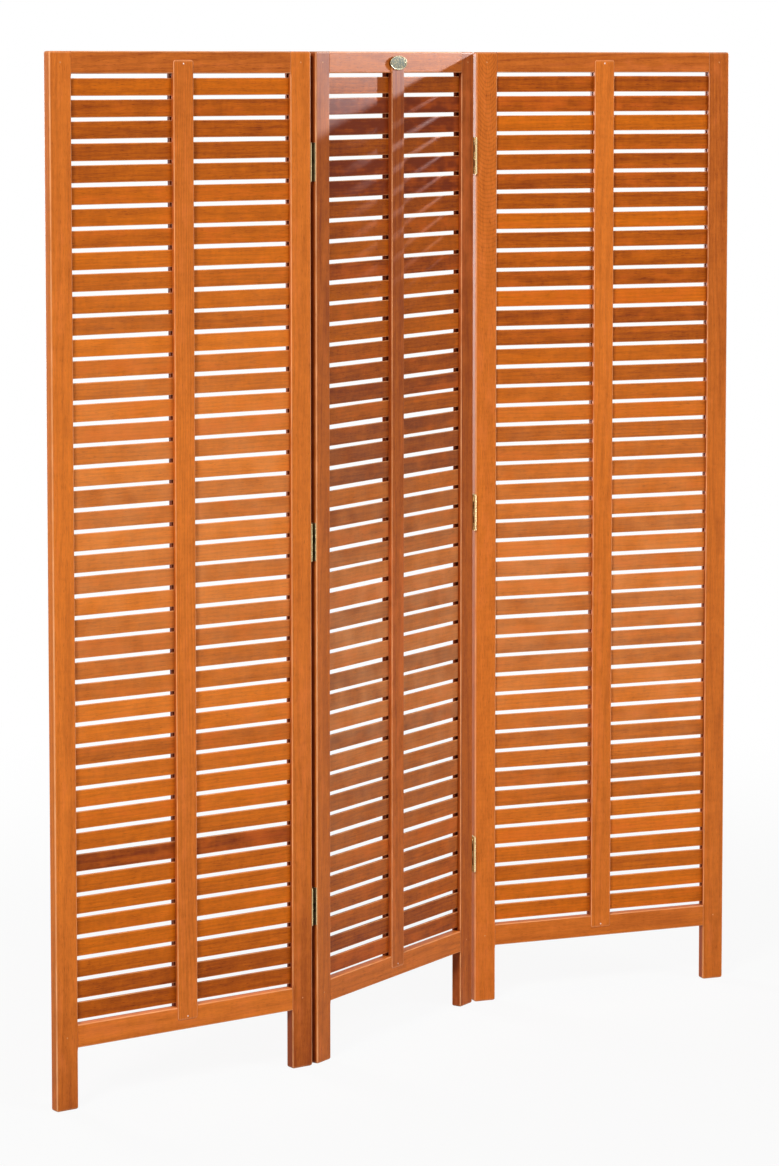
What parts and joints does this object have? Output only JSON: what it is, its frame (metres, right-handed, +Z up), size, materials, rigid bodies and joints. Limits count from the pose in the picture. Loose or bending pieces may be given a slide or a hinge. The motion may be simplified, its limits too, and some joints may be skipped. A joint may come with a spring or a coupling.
{
  "type": "folding slatted room divider",
  "caption": "Folding room divider: hinged hardwood panels on legs, each a stile-and-rail frame filled with fixed horizontal slats held between centre bars.",
  "frame": {"origin": "on the floor, under the middle of the box that holds the screen as it stands half unfolded", "axes": "+X along the screen's overall line, from its left end to its right end as seen from the front; +Y towards the back; +Z up"},
  "size_m": [1.462, 0.1808, 1.7],
  "materials": {
    "frame_wood": "satin oiled orange-brown hardwood, grain along each piece",
    "slat_wood": "satin oiled orange-brown hardwood, tone varying from slat to slat",
    "peg_wood": "lighter end grain, satin",
    "hinge_brass": "pale polished brass",
    "plate_brass": "aged greenish brass with a bright worn rim",
    "brad_steel": "small bright nail heads"
  },
  "bodies": {
    "left_panel": {"left_panel_left_stile": "frame_wood", "left_panel_right_stile": "frame_wood", "left_panel_top_rail": "frame_wood", "left_panel_bottom_rail": "frame_wood", "left_panel_front_bar": "frame_wood", "left_panel_slats_and_back_bar": "slat_wood", "left_panel_top_left_peg": "peg_wood", "left_panel_bottom_left_peg": "peg_wood", "left_panel_top_right_peg": "peg_wood", "left_panel_bottom_right_peg": "peg_wood", "left_panel_bar_top_brad": "brad_steel", "left_panel_bar_bottom_brad": "brad_steel", "left_fold_top_hinge_left_leaf": "hinge_brass", "left_fold_middle_hinge_left_leaf": "hinge_brass", "left_fold_bottom_hinge_left_leaf": "hinge_brass"},
    "middle_panel": {"middle_panel_left_stile": "frame_wood", "middle_panel_right_stile": "frame_wood", "middle_panel_top_rail": "frame_wood", "middle_panel_bottom_rail": "frame_wood", "middle_panel_front_bar": "frame_wood", "middle_panel_slats_and_back_bar": "slat_wood", "middle_panel_top_left_peg": "peg_wood", "middle_panel_bottom_left_peg": "peg_wood", "middle_panel_top_right_peg": "peg_wood", "middle_panel_bottom_right_peg": "peg_wood", "middle_panel_bar_top_brad": "brad_steel", "middle_panel_bar_bottom_brad": "brad_steel", "left_fold_top_hinge_right_leaf": "hinge_brass", "left_fold_top_hinge_pin": "hinge_brass", "left_fold_middle_hinge_right_leaf": "hinge_brass", "left_fold_middle_hinge_pin": "hinge_brass", "left_fold_bottom_hinge_right_leaf": "hinge_brass", "left_fold_bottom_hinge_pin": "hinge_brass", "right_fold_top_hinge_left_leaf": "hinge_brass", "right_fold_top_hinge_pin": "hinge_brass", "right_fold_middle_hinge_left_leaf": "hinge_brass", "right_fold_middle_hinge_pin": "hinge_brass", "right_fold_bottom_hinge_left_leaf": "hinge_brass", "right_fold_bottom_hinge_pin": "hinge_brass", "name_plate": "plate_brass", "name_plate_left_pin": "hinge_brass", "name_plate_right_pin": "hinge_brass"},
    "right_panel": {"right_panel_left_stile": "frame_wood", "right_panel_right_stile": "frame_wood", "right_panel_top_rail": "frame_wood", "right_panel_bottom_rail": "frame_wood", "right_panel_front_bar": "frame_wood", "right_panel_slats_and_back_bar": "slat_wood", "right_panel_top_left_peg": "peg_wood", "right_panel_bottom_left_peg": "peg_wood", "right_panel_top_right_peg": "peg_wood", "right_panel_bottom_right_peg": "peg_wood", "right_panel_bar_top_brad": "brad_steel", "right_panel_bar_bottom_brad": "brad_steel", "right_fold_top_hinge_right_leaf": "hinge_brass", "right_fold_middle_hinge_right_leaf": "hinge_brass", "right_fold_bottom_hinge_right_leaf": "hinge_brass"}
  },
  "joints": [
    {"name": "left_fold", "type": "hinge", "parent": "middle_panel", "child": "left_panel", "pos_m": [-0.23264, -0.06956, 0.85], "axis": [0, 0, -1], "range_deg": [-21.8, 158.2]},
    {"name": "right_fold", "type": "hinge", "parent": "middle_panel", "child": "right_panel", "pos_m": [0.24776, 0.07118, 0.85], "axis": [0, 0, -1], "range_deg": [-35.4, 144.6]}
  ]
}
